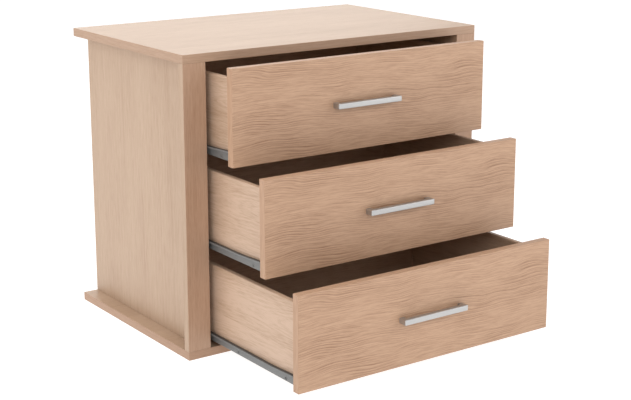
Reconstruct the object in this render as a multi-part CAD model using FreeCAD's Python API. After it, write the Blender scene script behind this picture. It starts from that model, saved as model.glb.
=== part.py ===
import FreeCAD, Part
import math
import os

# Drawer insert for a wardrobe: a low chest of oak-faced boards with three drawers on roller runners.
# Frame: X to the right, Y to the back, Z up. The origin is the centre of the base board's underside.
# All sizes are in millimetres, and the drawers stand as far open as they do at rest.

# Carcass boards
carcass_width = 800.0
carcass_depth = 510.0
top_thickness = 19.0
base_thickness = 19.0
side_thickness = 19.0
stile_thickness = 19.0
stile_width = 55.0
board_edge_radius = 0.8

# Back panel, held in a groove on all four sides
back_thickness = 3.0
back_inset = 8.0
back_groove_depth = 8.0
groove_play = 0.2
groove_end_gap = 0.5

# Drawer fronts, which lie between the stiles when closed
front_height = 208.0
front_thickness = 19.0
front_side_gap = 3.0
front_row_gap = 2.0
drawer_travel = 350.0

# Rows from the base up, with how far each drawer stands open at rest
row_names = ["bottom", "middle", "top"]
rest_opening = {"bottom": 334.0, "middle": 216.0, "top": 98.0}

# Drawer box
box_length = 450.0
box_side_thickness = 12.0
box_back_thickness = 12.0
box_bottom_thickness = 3.0
box_top_drop = 23.0
box_edge_radius = 2.5
box_groove_height = 10.0
box_groove_depth = 6.0
front_groove_depth = 8.0

# Roller runners: a rail on the carcass side and a slider on the drawer side
runner_gap = 12.5
sheet = 1.2
rail_setback = 2.0
rail_tail = 3.9
rail_rise = 4.3
rail_floor_width = 10.5
rail_lip_height = 3.5
rail_roof_width = 9.0
rail_roof_gap = 1.35
stop_height = 4.8
stop_gap = 0.3
slider_setback = 1.0
slider_height = 21.0
slider_reach = 9.2
slider_lip_drop = 3.7
ramp_length = 80.0
ramp_rise = 3.5
ramp_margin = 6.0

# Nylon rollers and the steel axles that they turn on
front_roller_radius = 11.0
front_roller_width = 5.6
front_axle_inset = 13.0
rear_roller_radius = 12.25
rear_roller_width = 6.5
rear_axle_inset = 13.0
roller_track_gap = 0.15
roller_lip_gap = 0.4
roller_web_gap = 1.0
roller_end_play = 0.1
roller_dish_depth = 0.8
roller_rim = 2.5
roller_hub = 2.5
axle_radius = 2.5
axle_collar_radius = 4.0
axle_head = 0.4
axle_play = 0.05
roller_cut_margin = 2.0

# Countersunk screws that hold the runners
screw_radius = 1.75
screw_head_radius = 3.25
rail_screw_length = 16.0
slider_screw_length = 12.0
slider_screw_height = 5.0
runner_screw_front_inset = 37.0
rail_screw_rear_inset = 29.0
slider_screw_rear_inset = 49.0
fixing_play = 0.05

# Dowels of the carcass and of the drawer boxes
carcass_dowel_radius = 4.0
carcass_dowel_in_face = 12.0
carcass_dowel_in_end = 18.0
carcass_dowel_places = [-150.0, 150.0]
stile_dowel_heights = [80.0, 316.0, 552.0]
stile_dowel_insets = [15.0, 40.0]
box_dowel_radius = 3.0
box_dowel_in_face = 9.0
box_dowel_in_end = 15.0
box_dowel_inset = 35.0
dowel_end_gap = 0.5

# Cam fittings between the top board and the sides
cam_radius = 7.5
cam_depth = 14.0
cam_distance = 34.0
cam_places = [-190.0, 190.0]
cam_slot_wall = 1.0
cam_cross_length = 8.0
cam_cross_width = 1.2
cam_cross_depth = 2.5
bolt_thread_radius = 2.5
bolt_thread_length = 11.0
bolt_shank_radius = 3.0
bolt_head_radius = 3.5
bolt_head_length = 3.0
bolt_neck_radius = 2.0
bolt_neck_length = 3.0
bolt_hole_radius = 4.0

# Long screws that hold the base board under the sides
base_screw_radius = 2.5
base_screw_head_radius = 5.0
base_screw_length = 50.0
base_screw_places = [-60.0, 100.0]

# Bridge handles and the machine screws that hold them
handle_hole_spacing = 160.0
handle_post_width = 12.0
handle_bar_height = 12.0
handle_bar_depth = 11.5
handle_projection = 21.0
handle_edge_radius = 1.8
handle_screw_radius = 2.0
handle_screw_in_post = 8.0
handle_screw_hole_radius = 2.25
handle_screw_head_radius = 4.0
handle_screw_head_height = 2.6
handle_screw_slot_width = 1.0
handle_screw_slot_depth = 1.2

# Places that follow from the sizes above
row_pitch = front_height + front_row_gap
inner_height = len(row_names) * row_pitch + front_row_gap
top_underside = base_thickness + inner_height
carcass_height = top_underside + top_thickness
half_width = carcass_width / 2
inner_half = half_width - stile_width
side_middle = inner_half + side_thickness / 2
front_plane = -carcass_depth / 2
rear_plane = carcass_depth / 2
stile_back = front_plane + stile_thickness
back_face = rear_plane - back_inset
front_half = inner_half - front_side_gap
box_half = inner_half - runner_gap
box_inner_half = box_half - box_side_thickness
closed_box_front = front_plane + front_thickness

# Heights in a runner, measured from the underside of its rail
rear_axle_height = sheet + roller_track_gap + rear_roller_radius
front_axle_height = sheet + roller_track_gap + front_roller_radius
rail_height = rear_axle_height + rear_roller_radius + rail_roof_gap + sheet
slider_top = front_axle_height + front_roller_radius + roller_track_gap + sheet
slider_bottom = slider_top - slider_height

# Places along a runner, where a stop's reach is how far ahead of its axle a rear roller meets it
stop_rise = rear_roller_radius + roller_track_gap - stop_height
stop_reach = math.sqrt(rear_roller_radius**2 - stop_rise**2) + stop_gap
closed_slider_front = closed_box_front + slider_setback
closed_slider_rear = closed_box_front + box_length
closed_rear_axle_y = closed_slider_rear - rear_axle_inset
out_stop = closed_rear_axle_y - drawer_travel - stop_reach
in_stop = closed_rear_axle_y + stop_reach
rail_front = closed_box_front + rail_setback
rail_rear = in_stop + sheet + rail_tail
front_axle_y = rail_front + front_axle_inset

# Places across a runner, measured from the carcass side's inner face
slider_web = runner_gap - sheet
slider_edge = runner_gap - slider_reach
front_roller_start = slider_edge + sheet + roller_lip_gap
front_roller_end = front_roller_start + front_roller_width
rear_roller_start = sheet + roller_web_gap
rear_roller_end = rear_roller_start + rear_roller_width


def slab(corner, opposite):
    """A box between two opposite corners, given in any order."""
    low = [min(a, b) for a, b in zip(corner, opposite)]
    size = [abs(a - b) for a, b in zip(corner, opposite)]
    return Part.makeBox(*size, FreeCAD.Vector(*low))


def board(corner, opposite, radius=board_edge_radius):
    """A board with its twelve edges slightly rounded, as edge banding is trimmed."""
    plain = slab(corner, opposite)
    return plain.makeFillet(radius, plain.Edges)


def rod(start, direction, length, radius):
    """A round bar from a point, along a direction."""
    return Part.makeCylinder(radius, length, FreeCAD.Vector(*start), FreeCAD.Vector(*direction))


def stepped_rod(start, direction, steps):
    """Coaxial round bars end to end, from (length, radius) steps, as one solid."""
    place = FreeCAD.Vector(*start)
    along = FreeCAD.Vector(*direction)
    pieces = []
    for length, radius in steps:
        pieces.append(Part.makeCylinder(radius, length, place, along))
        place = place + along * length
    return joined(pieces)


def joined(pieces):
    """One solid from pieces that touch or overlap."""
    return pieces[0].multiFuse(pieces[1:]).removeSplitter()


def group(pieces):
    """Separate like solids kept together in one node."""
    return Part.makeCompound(pieces)


def across(side, distance):
    """The X of a point at a distance in from the carcass side's inner face. side is -1 or +1."""
    return side * (inner_half - distance)


def plate(side, near, far, outline):
    """A plate whose outline is given in Y and Z, between two distances from the side's inner face."""
    corners = [FreeCAD.Vector(across(side, near), y, z) for y, z in outline]
    face = Part.Face(Part.makePolygon(corners + corners[:1]))
    return face.extrude(FreeCAD.Vector(-side * (far - near), 0, 0))


def countersunk_screw(start, direction, length, growth=0.0):
    """A countersunk screw from the centre of its head, or its hole when it is given a growth."""
    cone = screw_head_radius - screw_radius
    place = FreeCAD.Vector(*start)
    along = FreeCAD.Vector(*direction)
    head = Part.makeCone(screw_head_radius + growth, screw_radius + growth, cone, place, along)
    shank = Part.makeCylinder(screw_radius + growth, length + growth, place, along)
    return joined([head, shank])


def front_z(row):
    """The height of a drawer front's lower edge."""
    return base_thickness + front_row_gap + row * row_pitch


def rail_z(row):
    """The height of a rail's underside."""
    return front_z(row) + rail_rise


def opening(row):
    """How far a drawer stands open at rest."""
    return rest_opening[row_names[row]]


def box_front(row):
    """The Y of the drawer front's back face, where the drawer box starts."""
    return closed_box_front - opening(row)


def box_side_bottom(row):
    """The height of the drawer side's lower edge, which sits on the slider's foot."""
    return rail_z(row) + slider_bottom + sheet


def box_side_top(row):
    """The height of the drawer side's upper edge."""
    return front_z(row) + front_height - box_top_drop


def box_groove_bottom(row):
    """The height of the lower face of the groove for the drawer bottom."""
    return box_side_bottom(row) + box_groove_height


def box_bottom_top(row):
    """The height of the drawer bottom's upper face."""
    return box_groove_bottom(row) + groove_play / 2 + box_bottom_thickness


def box_dowel_heights(row):
    """The heights of the two dowels in each corner of a drawer box."""
    low = box_bottom_top(row) + box_dowel_inset
    high = box_side_top(row) - box_dowel_inset
    return [low, high]


# Fixings of the carcass, as (centre of the joint, direction into the board end)
def carcass_dowel_joints():
    joints = []
    for side in (-1, 1):
        for y in carcass_dowel_places:
            joints.append(((side * side_middle, y, base_thickness), (0, 0, 1)))
            joints.append(((side * side_middle, y, top_underside), (0, 0, -1)))
        for inset in stile_dowel_insets:
            x = side * (half_width - inset)
            y = front_plane + stile_thickness / 2
            joints.append(((x, y, base_thickness), (0, 0, 1)))
            joints.append(((x, y, top_underside), (0, 0, -1)))
        for height in stile_dowel_heights:
            joints.append(((side * side_middle, stile_back, base_thickness + height), (0, 1, 0)))
    return joints


def dowel(joint, in_face, in_end, radius, growth=0.0, end_gap=0.0):
    """A dowel across a joint, or its hole when it is given a growth and an end gap."""
    centre, direction = joint
    start = [c - d * (in_face + end_gap) for c, d in zip(centre, direction)]
    return rod(start, direction, in_face + in_end + 2 * end_gap, radius + growth)


def carcass_dowel(joint, growth=0.0, end_gap=0.0):
    return dowel(joint, carcass_dowel_in_face, carcass_dowel_in_end, carcass_dowel_radius, growth, end_gap)


def box_dowel(joint, growth=0.0, end_gap=0.0):
    return dowel(joint, box_dowel_in_face, box_dowel_in_end, box_dowel_radius, growth, end_gap)


def carcass_dowel_holes():
    return [carcass_dowel(joint, fixing_play, dowel_end_gap) for joint in carcass_dowel_joints()]


def base_screw(side, y, growth=0.0):
    """A long countersunk screw from under the base board up into a side, or its hole."""
    cone = base_screw_head_radius - base_screw_radius
    place = FreeCAD.Vector(side * side_middle, y, 0)
    up = FreeCAD.Vector(0, 0, 1)
    head = Part.makeCone(base_screw_head_radius + growth, base_screw_radius + growth, cone, place, up)
    shank = Part.makeCylinder(base_screw_radius + growth, base_screw_length + growth, place, up)
    return joined([head, shank])


def base_screws(growth=0.0):
    return [base_screw(side, y, growth) for side in (-1, 1) for y in base_screw_places]


def rail_screw(side, row, y, growth=0.0):
    """A screw through a rail's web into the carcass side, or its hole."""
    start = (across(side, sheet), y, rail_z(row) + rail_height / 2)
    return countersunk_screw(start, (side, 0, 0), rail_screw_length, growth)


def screw_places(front, rear, rear_inset):
    """Where three screws go along a rail or slider: near each end, and halfway between."""
    first = front + runner_screw_front_inset
    last = rear - rear_inset
    return [first, (first + last) / 2, last]


def rail_screws(side, row, growth=0.0):
    places = screw_places(rail_front, rail_rear, rail_screw_rear_inset)
    return [rail_screw(side, row, y, growth) for y in places]


def slider_ends(row):
    """The Y of a slider's front and rear ends at rest."""
    return closed_slider_front - opening(row), closed_slider_rear - opening(row)


def slider_screws(side, row, growth=0.0):
    """The screws through a slider's web into the drawer side, or their holes."""
    z = box_side_bottom(row) + slider_screw_height
    screws = []
    for y in screw_places(*slider_ends(row), slider_screw_rear_inset):
        start = (across(side, slider_web), y, z)
        screws.append(countersunk_screw(start, (-side, 0, 0), slider_screw_length, growth))
    return screws


def groove_back_y():
    """The Y of the back panel groove's front wall and rear wall."""
    return back_face - back_thickness - groove_play, back_face


def top_panel():
    panel = board((-half_width, front_plane, top_underside), (half_width, rear_plane, carcass_height))
    groove_front, groove_rear = groove_back_y()
    groove_half = inner_half + back_groove_depth
    groove = slab(
        (-groove_half, groove_front, top_underside),
        (groove_half, groove_rear, top_underside + back_groove_depth),
    )
    threads = []
    for side in (-1, 1):
        for y in cam_places:
            start = (side * side_middle, y, top_underside)
            threads.append(rod(start, (0, 0, 1), bolt_thread_length + dowel_end_gap, bolt_thread_radius + fixing_play))
    return panel.cut([groove] + threads + carcass_dowel_holes())


def bottom_panel():
    panel = board((-half_width, front_plane, 0), (half_width, rear_plane, base_thickness))
    groove_front, groove_rear = groove_back_y()
    groove_half = inner_half + back_groove_depth
    groove = slab(
        (-groove_half, groove_front, base_thickness),
        (groove_half, groove_rear, base_thickness - back_groove_depth),
    )
    return panel.cut([groove] + base_screws(fixing_play) + carcass_dowel_holes())


def cam_centre(side, y):
    """The centre of a cam's face on the side's inner face."""
    return side * inner_half, y, top_underside - cam_distance


def side_panel(side):
    panel = board(
        (side * inner_half, stile_back, base_thickness),
        (side * (inner_half + side_thickness), rear_plane, top_underside),
    )
    groove_front, groove_rear = groove_back_y()
    cuts = [
        slab(
            (side * inner_half, groove_front, base_thickness),
            (side * (inner_half + back_groove_depth), groove_rear, top_underside),
        )
    ]
    for y in cam_places:
        cuts.append(rod(cam_centre(side, y), (side, 0, 0), cam_depth, cam_radius + fixing_play))
        start = (side * side_middle, y, top_underside)
        cuts.append(rod(start, (0, 0, -1), cam_distance, bolt_hole_radius))
    for row in range(len(row_names)):
        cuts += rail_screws(side, row, fixing_play)
    return panel.cut(cuts + base_screws(fixing_play) + carcass_dowel_holes())


def stile(side):
    panel = board((side * inner_half, front_plane, base_thickness), (side * half_width, stile_back, top_underside))
    return panel.cut(carcass_dowel_holes())


def back_panel():
    reach = back_groove_depth - groove_end_gap
    rear = back_face - groove_play / 2
    return slab(
        (-inner_half - reach, rear - back_thickness, base_thickness - reach),
        (inner_half + reach, rear, top_underside + reach),
    )


def cam_lock(side, y):
    """A cam: a drum with a cross in its face and a slot that takes the bolt's head."""
    drum = rod(cam_centre(side, y), (side, 0, 0), cam_depth - fixing_play, cam_radius)
    x, y, z = cam_centre(side, y)
    slot_half = bolt_head_radius + fixing_play
    slot = slab(
        (side * (side_middle - slot_half), y - slot_half, z - slot_half),
        (side * (side_middle + slot_half), y + slot_half, z + cam_radius + cam_slot_wall),
    )
    long_half = cam_cross_length / 2
    short_half = cam_cross_width / 2
    deep = x + side * cam_cross_depth
    upright = slab((x, y - short_half, z - long_half), (deep, y + short_half, z + long_half))
    level = slab((x, y - long_half, z - short_half), (deep, y + long_half, z + short_half))
    return drum.cut([slot, upright, level])


def cam_bolt(side, y):
    """A bolt screwed up into the top board, whose head hangs in the cam."""
    start = (side * side_middle, y, top_underside + bolt_thread_length)
    shank_length = cam_distance - bolt_neck_length - bolt_head_length / 2
    steps = [
        (bolt_thread_length, bolt_thread_radius),
        (shank_length, bolt_shank_radius),
        (bolt_neck_length, bolt_neck_radius),
        (bolt_head_length, bolt_head_radius),
    ]
    return stepped_rod(start, (0, 0, -1), steps)


def cam_fittings():
    places = [(side, y) for side in (-1, 1) for y in cam_places]
    return group([cam_lock(*place) for place in places] + [cam_bolt(*place) for place in places])


def carcass_dowels():
    return group([carcass_dowel(joint) for joint in carcass_dowel_joints()])


def all_rail_screws():
    screws = []
    for row in range(len(row_names)):
        for side in (-1, 1):
            screws += rail_screws(side, row)
    return group(screws)


def rail(side, row):
    """The carcass rail: a channel of folded sheet with a lip, a roof behind the ramp and two stops."""
    z = rail_z(row)
    roof_front = closed_slider_front + ramp_length + ramp_margin
    lip_front = front_axle_y + front_roller_radius + roller_cut_margin

    def fold(near, far, y_from, y_to, low, high):
        return slab((across(side, near), y_from, z + low), (across(side, far), y_to, z + high))

    pieces = [
        fold(0, sheet, rail_front, rail_rear, 0, rail_height),
        fold(0, rail_floor_width, rail_front, rail_rear, 0, sheet),
        fold(rail_floor_width - sheet, rail_floor_width, lip_front, rail_rear, 0, rail_lip_height),
        fold(0, rail_roof_width, roof_front, rail_rear, rail_height - sheet, rail_height),
        fold(0, rear_roller_end, out_stop - sheet, out_stop, 0, sheet + stop_height),
        fold(0, rear_roller_end, in_stop, in_stop + sheet, 0, sheet + stop_height),
    ]
    axle_hole = rod(
        (across(side, 0), front_axle_y, z + front_axle_height),
        (-side, 0, 0),
        sheet,
        axle_radius + axle_play,
    )
    return joined(pieces).cut([axle_hole] + rail_screws(side, row, fixing_play))


def rail_axle(side, row):
    """The axle of the rail's front roller, riveted into the web, with a collar and a head."""
    start = (across(side, 0), front_axle_y, rail_z(row) + front_axle_height)
    steps = [
        (sheet, axle_radius),
        (front_roller_start - roller_end_play - sheet, axle_collar_radius),
        (front_roller_width + 2 * roller_end_play, axle_radius),
        (axle_head, axle_collar_radius),
    ]
    return stepped_rod(start, (-side, 0, 0), steps)


def rail_axles():
    return group([rail_axle(side, row) for row in range(len(row_names)) for side in (-1, 1)])


def roller(side, start, width, radius, y, z):
    """A nylon roller with dished faces, turned about a bore that clears its axle."""
    bore = axle_radius + axle_play
    dish_in = bore + roller_hub
    dish_out = radius - roller_rim
    near = side * (inner_half - start)
    far = side * (inner_half - start - width)
    inward = -side * roller_dish_depth
    outline = [
        (near, bore),
        (near, dish_in),
        (near + inward, dish_in),
        (near + inward, dish_out),
        (near, dish_out),
        (near, radius),
        (far, radius),
        (far, dish_out),
        (far - inward, dish_out),
        (far - inward, dish_in),
        (far, dish_in),
        (far, bore),
    ]
    corners = [FreeCAD.Vector(x, y, z + r) for x, r in outline]
    face = Part.Face(Part.makePolygon(corners + corners[:1]))
    return face.revolve(FreeCAD.Vector(0, y, z), FreeCAD.Vector(1, 0, 0), 360)


def rail_rollers(row):
    z = rail_z(row) + front_axle_height
    size = (front_roller_start, front_roller_width, front_roller_radius)
    return group([roller(side, *size, front_axle_y, z) for side in (-1, 1)])


def rear_axle_y(row):
    """The Y of a drawer's rear roller axle at rest."""
    return closed_rear_axle_y - opening(row)


def drawer_rollers(row):
    z = rail_z(row) + rear_axle_height
    size = (rear_roller_start, rear_roller_width, rear_roller_radius)
    return group([roller(side, *size, rear_axle_y(row), z) for side in (-1, 1)])


def drawer_axle(side, row):
    """The axle of a drawer's rear roller, riveted into the slider's web, with a collar and a head."""
    start = (across(side, runner_gap), rear_axle_y(row), rail_z(row) + rear_axle_height)
    steps = [
        (sheet, axle_radius),
        (slider_web - rear_roller_end - roller_end_play, axle_collar_radius),
        (rear_roller_width + 2 * roller_end_play, axle_radius),
        (axle_head, axle_collar_radius),
    ]
    return stepped_rod(start, (side, 0, 0), steps)


def drawer_axles(row):
    return group([drawer_axle(side, row) for side in (-1, 1)])


def slider(side, row):
    """The drawer slider: an angle under the side with a lipped flange that ramps up at the front."""
    front, rear = slider_ends(row)
    ramp_end = front + ramp_length
    flange_rear = rear_axle_y(row) - rear_roller_radius - roller_cut_margin
    low = rail_z(row) + slider_bottom
    high = rail_z(row) + slider_top

    def strip(drop):
        """The outline of a strip under the flange's top line, as deep as drop."""
        return [
            (front, high + ramp_rise - drop),
            (ramp_end, high - drop),
            (flange_rear, high - drop),
            (flange_rear, high),
            (ramp_end, high),
            (front, high + ramp_rise),
        ]

    web = [(front, low), (rear, low), (rear, high), (ramp_end, high), (front, high + ramp_rise)]
    foot = slab(
        (across(side, slider_web), front, low),
        (across(side, runner_gap + box_side_thickness), rear, low + sheet),
    )
    pieces = [
        plate(side, slider_web, runner_gap, web),
        plate(side, slider_edge, runner_gap, strip(sheet)),
        plate(side, slider_edge, slider_edge + sheet, strip(slider_lip_drop)),
        foot,
    ]
    axle_hole = rod(
        (across(side, slider_web), rear_axle_y(row), rail_z(row) + rear_axle_height),
        (-side, 0, 0),
        sheet,
        axle_radius + axle_play,
    )
    return joined(pieces).cut([axle_hole] + slider_screws(side, row, fixing_play))


def box_dowel_joints(row):
    """Where a drawer box is dowelled: its sides to the front, and its back to the sides."""
    joints = []
    back_middle = box_front(row) + box_length - box_back_thickness / 2
    side_middle_x = box_half - box_side_thickness / 2
    for side in (-1, 1):
        for z in box_dowel_heights(row):
            joints.append(((side * side_middle_x, box_front(row), z), (0, 1, 0)))
            joints.append(((side * box_inner_half, back_middle, z), (-side, 0, 0)))
    return joints


def box_dowel_holes(row):
    return [box_dowel(joint, fixing_play, dowel_end_gap) for joint in box_dowel_joints(row)]


def handle_height(row):
    """The height of the handle's centre line, in the middle of the front."""
    return front_z(row) + front_height / 2


def handle_screw_starts(row, y):
    """Points on the two handle screws' axes at a given Y."""
    return [(side * handle_hole_spacing / 2, y, handle_height(row)) for side in (-1, 1)]


def drawer_front(row):
    face = box_front(row) - front_thickness
    panel = board(
        (-front_half, face, front_z(row)),
        (front_half, box_front(row), front_z(row) + front_height),
    )
    groove_half = box_inner_half + box_groove_depth
    low = box_groove_bottom(row)
    cuts = [
        slab(
            (-groove_half, box_front(row) - front_groove_depth, low),
            (groove_half, box_front(row), low + box_bottom_thickness + groove_play),
        )
    ]
    for start in handle_screw_starts(row, face):
        cuts.append(rod(start, (0, 1, 0), front_thickness, handle_screw_hole_radius))
    return panel.cut(cuts + box_dowel_holes(row))


def drawer_side(side, row):
    front = box_front(row)
    rear = front + box_length
    plain = slab(
        (side * box_half, front, box_side_bottom(row)),
        (side * box_inner_half, rear, box_side_top(row)),
    )
    upper = [e for e in plain.Edges if e.BoundBox.ZMin > box_side_top(row) - 0.01 and e.BoundBox.YLength > 1]
    rounded = plain.makeFillet(box_edge_radius, upper)
    low = box_groove_bottom(row)
    groove = slab(
        (side * box_inner_half, front, low),
        (side * (box_inner_half + box_groove_depth), rear, low + box_bottom_thickness + groove_play),
    )
    return rounded.cut([groove] + slider_screws(side, row, fixing_play) + box_dowel_holes(row))


def drawer_back(row):
    rear = box_front(row) + box_length
    plain = slab(
        (-box_inner_half, rear - box_back_thickness, box_bottom_top(row)),
        (box_inner_half, rear, box_side_top(row)),
    )
    upper = [e for e in plain.Edges if e.BoundBox.ZMin > box_side_top(row) - 0.01 and e.BoundBox.XLength > 1]
    return plain.makeFillet(box_edge_radius, upper).cut(box_dowel_holes(row))


def drawer_bottom(row):
    reach = box_groove_depth - groove_end_gap
    top = box_bottom_top(row)
    return slab(
        (-box_inner_half - reach, box_front(row) - front_groove_depth + groove_end_gap, top - box_bottom_thickness),
        (box_inner_half + reach, box_front(row) + box_length, top),
    )


def drawer_dowels(row):
    return group([box_dowel(joint) for joint in box_dowel_joints(row)])


def drawer_slider_screws(row):
    return group([screw for side in (-1, 1) for screw in slider_screws(side, row)])


def drawer_handle(row):
    """A cast bridge handle: a bar with a foot at each end, drilled and tapped for its screws."""
    face = box_front(row) - front_thickness
    bar_front = face - handle_projection
    half_length = (handle_hole_spacing + handle_post_width) / 2
    half_height = handle_bar_height / 2
    z = handle_height(row)
    solid = slab((-half_length, bar_front, z - half_height), (half_length, face, z + half_height))
    inner = half_length - handle_post_width
    gap = slab((-inner, bar_front + handle_bar_depth, z - half_height), (inner, face, z + half_height))
    bridge = solid.cut(gap)
    soft = [e for e in bridge.Edges if e.BoundBox.YMax < face - 0.01 or e.BoundBox.YLength > 1]
    bridge = bridge.makeFillet(handle_edge_radius, soft)
    depth = handle_screw_in_post + dowel_end_gap
    holes = [
        rod(start, (0, -1, 0), depth, handle_screw_radius + fixing_play) for start in handle_screw_starts(row, face)
    ]
    return bridge.cut(holes)


def handle_screws(row):
    """Two slotted machine screws from inside the drawer, through the front into the handle's feet."""
    screws = []
    for x, y, z in handle_screw_starts(row, box_front(row) + handle_screw_head_height):
        steps = [
            (handle_screw_head_height, handle_screw_head_radius),
            (front_thickness + handle_screw_in_post, handle_screw_radius),
        ]
        screw = stepped_rod((x, y, z), (0, -1, 0), steps)
        slot = slab(
            (x - handle_screw_head_radius, y - handle_screw_slot_depth, z - handle_screw_slot_width / 2),
            (x + handle_screw_head_radius, y, z + handle_screw_slot_width / 2),
        )
        screws.append(screw.cut(slot))
    return group(screws)


def carcass_nodes():
    nodes = {
        "top_panel": top_panel(),
        "bottom_panel": bottom_panel(),
        "back_panel": back_panel(),
        "cam_fittings": cam_fittings(),
        "carcass_dowels": carcass_dowels(),
        "base_screws": group(base_screws()),
        "rail_screws": all_rail_screws(),
        "rail_axles": rail_axles(),
    }
    for side, side_name in ((-1, "left"), (1, "right")):
        nodes[f"{side_name}_side_panel"] = side_panel(side)
        nodes[f"{side_name}_stile"] = stile(side)
    return nodes


def row_nodes(row):
    name = row_names[row]
    nodes = {
        f"{name}_rail_rollers": rail_rollers(row),
        f"{name}_drawer_front": drawer_front(row),
        f"{name}_drawer_back": drawer_back(row),
        f"{name}_drawer_bottom": drawer_bottom(row),
        f"{name}_drawer_handle": drawer_handle(row),
        f"{name}_drawer_handle_screws": handle_screws(row),
        f"{name}_drawer_dowels": drawer_dowels(row),
        f"{name}_drawer_slider_screws": drawer_slider_screws(row),
        f"{name}_drawer_axles": drawer_axles(row),
        f"{name}_drawer_rollers": drawer_rollers(row),
    }
    for side, side_name in ((-1, "left"), (1, "right")):
        nodes[f"{name}_{side_name}_rail"] = rail(side, row)
        nodes[f"{name}_drawer_{side_name}_side"] = drawer_side(side, row)
        nodes[f"{name}_drawer_{side_name}_slider"] = slider(side, row)
    return nodes


os.makedirs("parts", exist_ok=True)
nodes = carcass_nodes()
for row in range(len(row_names)):
    nodes.update(row_nodes(row))
for name, shape in nodes.items():
    shape.exportStep(f"parts/{name}.step")
print(len(nodes), "nodes written")
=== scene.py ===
import math

import bmesh
import bpy
import numpy as np
from bpy.props import FloatProperty, FloatVectorProperty, PointerProperty
from bpy.types import Operator, Panel, PropertyGroup
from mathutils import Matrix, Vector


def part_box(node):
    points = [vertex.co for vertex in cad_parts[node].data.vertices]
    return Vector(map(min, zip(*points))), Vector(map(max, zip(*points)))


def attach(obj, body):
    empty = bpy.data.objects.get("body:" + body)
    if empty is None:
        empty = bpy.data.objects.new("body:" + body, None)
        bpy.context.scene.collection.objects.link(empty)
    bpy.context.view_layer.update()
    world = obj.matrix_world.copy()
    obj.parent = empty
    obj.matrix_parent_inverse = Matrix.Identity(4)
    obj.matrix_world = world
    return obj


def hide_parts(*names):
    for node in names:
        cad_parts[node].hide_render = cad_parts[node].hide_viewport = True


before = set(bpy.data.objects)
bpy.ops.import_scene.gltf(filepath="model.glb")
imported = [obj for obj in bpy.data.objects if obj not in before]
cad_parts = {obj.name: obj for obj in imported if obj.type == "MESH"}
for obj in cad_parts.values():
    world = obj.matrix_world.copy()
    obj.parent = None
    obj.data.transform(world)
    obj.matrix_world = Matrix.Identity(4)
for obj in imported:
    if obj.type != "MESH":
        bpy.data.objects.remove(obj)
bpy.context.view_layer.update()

bl_info = {
    "name": "Wardrobe Drawer Insert",
    "version": (1, 0, 0),
    "blender": (4, 5, 0),
    "location": "View3D > Sidebar > Drawer Insert",
    "description": "Dresses a low chest of three drawers with oak foil, runners and handles",
    "category": "Object",
}

ROWS = ("bottom", "middle", "top")
SIDES = (("left", -1), ("right", 1))
AXES = {"x": 0, "y": 1, "z": 2}

# Points closer than this, in metres, are one point of a mesh, and edges that turn by more stay sharp
MERGE_DISTANCE = 2e-6
SHARP_ANGLE = math.radians(32)


def linear(hex_colour):
    """The linear light of an sRGB hex colour, as red, green and blue."""
    channels = [int(hex_colour[i:i + 2], 16) / 255 for i in (1, 3, 5)]
    return [c / 12.92 if c <= 0.04045 else ((c + 0.055) / 1.055) ** 2.4 for c in channels]


def colour(name, description, hex_colour):
    """A colour property whose default is an sRGB hex colour."""
    return FloatVectorProperty(
        name=name, description=description, default=linear(hex_colour), subtype="COLOR", min=0, max=1
    )


def length(name, description, metres):
    """A length property, in metres."""
    return FloatProperty(name=name, description=description, default=metres, unit="LENGTH", precision=5)


def power(name, description, watts):
    """A light's power property, in watts."""
    return FloatProperty(name=name, description=description, default=watts, unit="POWER")


def rotation(name, description, degrees):
    """An angle property, from degrees."""
    return FloatProperty(name=name, description=description, default=math.radians(degrees), unit="ROTATION")


class FinishColours(PropertyGroup):
    """Colours of the boards, the metal and the small parts."""

    carcass_light: colour("Carcass oak, light", "Ground of the oak foil on the carcass", "#BDA28A")
    carcass_dark: colour("Carcass oak, dark", "Streaks of the oak foil on the carcass", "#9B7A5E")
    edge_light: colour("Edge band, light", "Ground of the edge bands on the carcass", "#B99A83")
    edge_dark: colour("Edge band, dark", "Streaks of the edge bands on the carcass", "#967254")
    # The stile foil is a darker copy of the carcass foil: painted shade for the stile fronts and the base's
    # front edge, which lie in the shade of the open drawers
    stile_light: colour("Stile oak, light", "Ground of the oak foil on the stiles", "#B5937A")
    stile_dark: colour("Stile oak, dark", "Streaks of the oak foil on the stiles", "#936C4F")
    front_light: colour("Front oak, light", "Ground of the oak foil on the drawer fronts", "#C39E81")
    front_dark: colour("Front oak, dark", "Streaks of the oak foil on the drawer fronts", "#906A4E")
    box_light: colour("Box oak, light", "Ground of the oak foil on the drawer boxes", "#C7AA93")
    box_dark: colour("Box oak, dark", "Streaks of the oak foil on the drawer boxes", "#987656")
    hardboard: colour("Hardboard", "Raw faces of the back and the drawer bottoms", "#96704C")
    runner: colour("Runner coat", "Powder coat of the runners", "#727271")
    nylon: colour("Nylon", "Moulded rollers", "#D9D8D2")
    zinc: colour("Zinc plate", "Screws and rivets", "#C9C7C0")
    handle: colour("Handle metal", "Satin metal of the handles", "#C4C3C2")
    beech: colour("Beech", "Turned dowels", "#D8B68A")


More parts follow.
